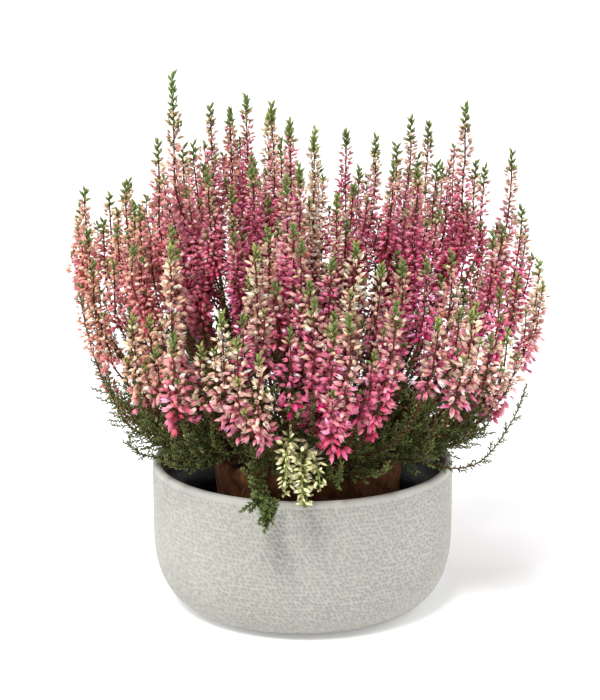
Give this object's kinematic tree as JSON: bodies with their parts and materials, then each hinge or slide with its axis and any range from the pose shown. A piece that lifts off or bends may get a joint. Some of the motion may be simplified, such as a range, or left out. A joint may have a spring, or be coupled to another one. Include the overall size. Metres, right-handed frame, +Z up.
{
  "type": "potted heather",
  "caption": "Heather in flower with upright spikes of small bells over needle foliage, growing in a block of peat in a round dimpled ceramic bowl.",
  "frame": {"origin": "centre of the bowl's flat base, on the surface it stands on", "axes": "+Z up, -Y is the front of the plant as pictured, +X to the right in that view"},
  "size_m": [0.2707, 0.2329, 0.3],
  "materials": {
    "ceramic": "matte, finely dimpled",
    "liner": "thin black film",
    "peat": "fibrous and dull",
    "foliage": "needle leaves on thin woody stems",
    "rose": "papery sepals, rose pink",
    "magenta": "papery sepals, deep magenta",
    "salmon": "papery sepals, salmon",
    "cream": "papery sepals, cream"
  },
  "bodies": {
    "root": {"pot": "ceramic", "liner": "liner", "root_ball": "peat", "stem_01": "foliage", "stem_02": "foliage", "stem_03": "foliage", "stem_04": "foliage", "stem_05": "foliage", "stem_06": "foliage", "stem_07": "foliage", "stem_08": "foliage", "spike_01": "rose", "spike_02": "salmon", "spike_03": "rose", "spike_04": "salmon", "spike_05": "salmon", "spike_06": "rose", "spike_07": "rose", "spike_08": "rose", "spike_09": "magenta", "spike_10": "rose", "spike_11": "magenta", "spike_12": "magenta", "spike_13": "rose", "spike_14": "rose", "spike_15": "cream", "spike_16": "magenta", "spike_17": "rose", "spike_18": "rose", "spike_19": "salmon", "spike_20": "magenta", "spike_21": "rose", "spike_22": "magenta", "spike_23": "rose", "spike_24": "cream", "spike_25": "magenta", "spike_26": "rose", "spike_27": "cream", "spike_28": "salmon", "spike_29": "cream", "spike_30": "cream", "spike_31": "cream", "spike_32": "rose", "spike_33": "rose", "spike_34": "rose", "spike_35": "rose", "spike_36": "cream", "spike_37": "magenta", "spike_38": "salmon", "spike_39": "cream", "spike_40": "cream", "spike_41": "cream", "spike_42": "rose", "spike_43": "magenta", "spike_44": "rose", "spike_45": "salmon", "spike_46": "magenta", "spike_47": "rose", "spike_48": "salmon", "spike_49": "rose"}
  },
  "joints": []
}
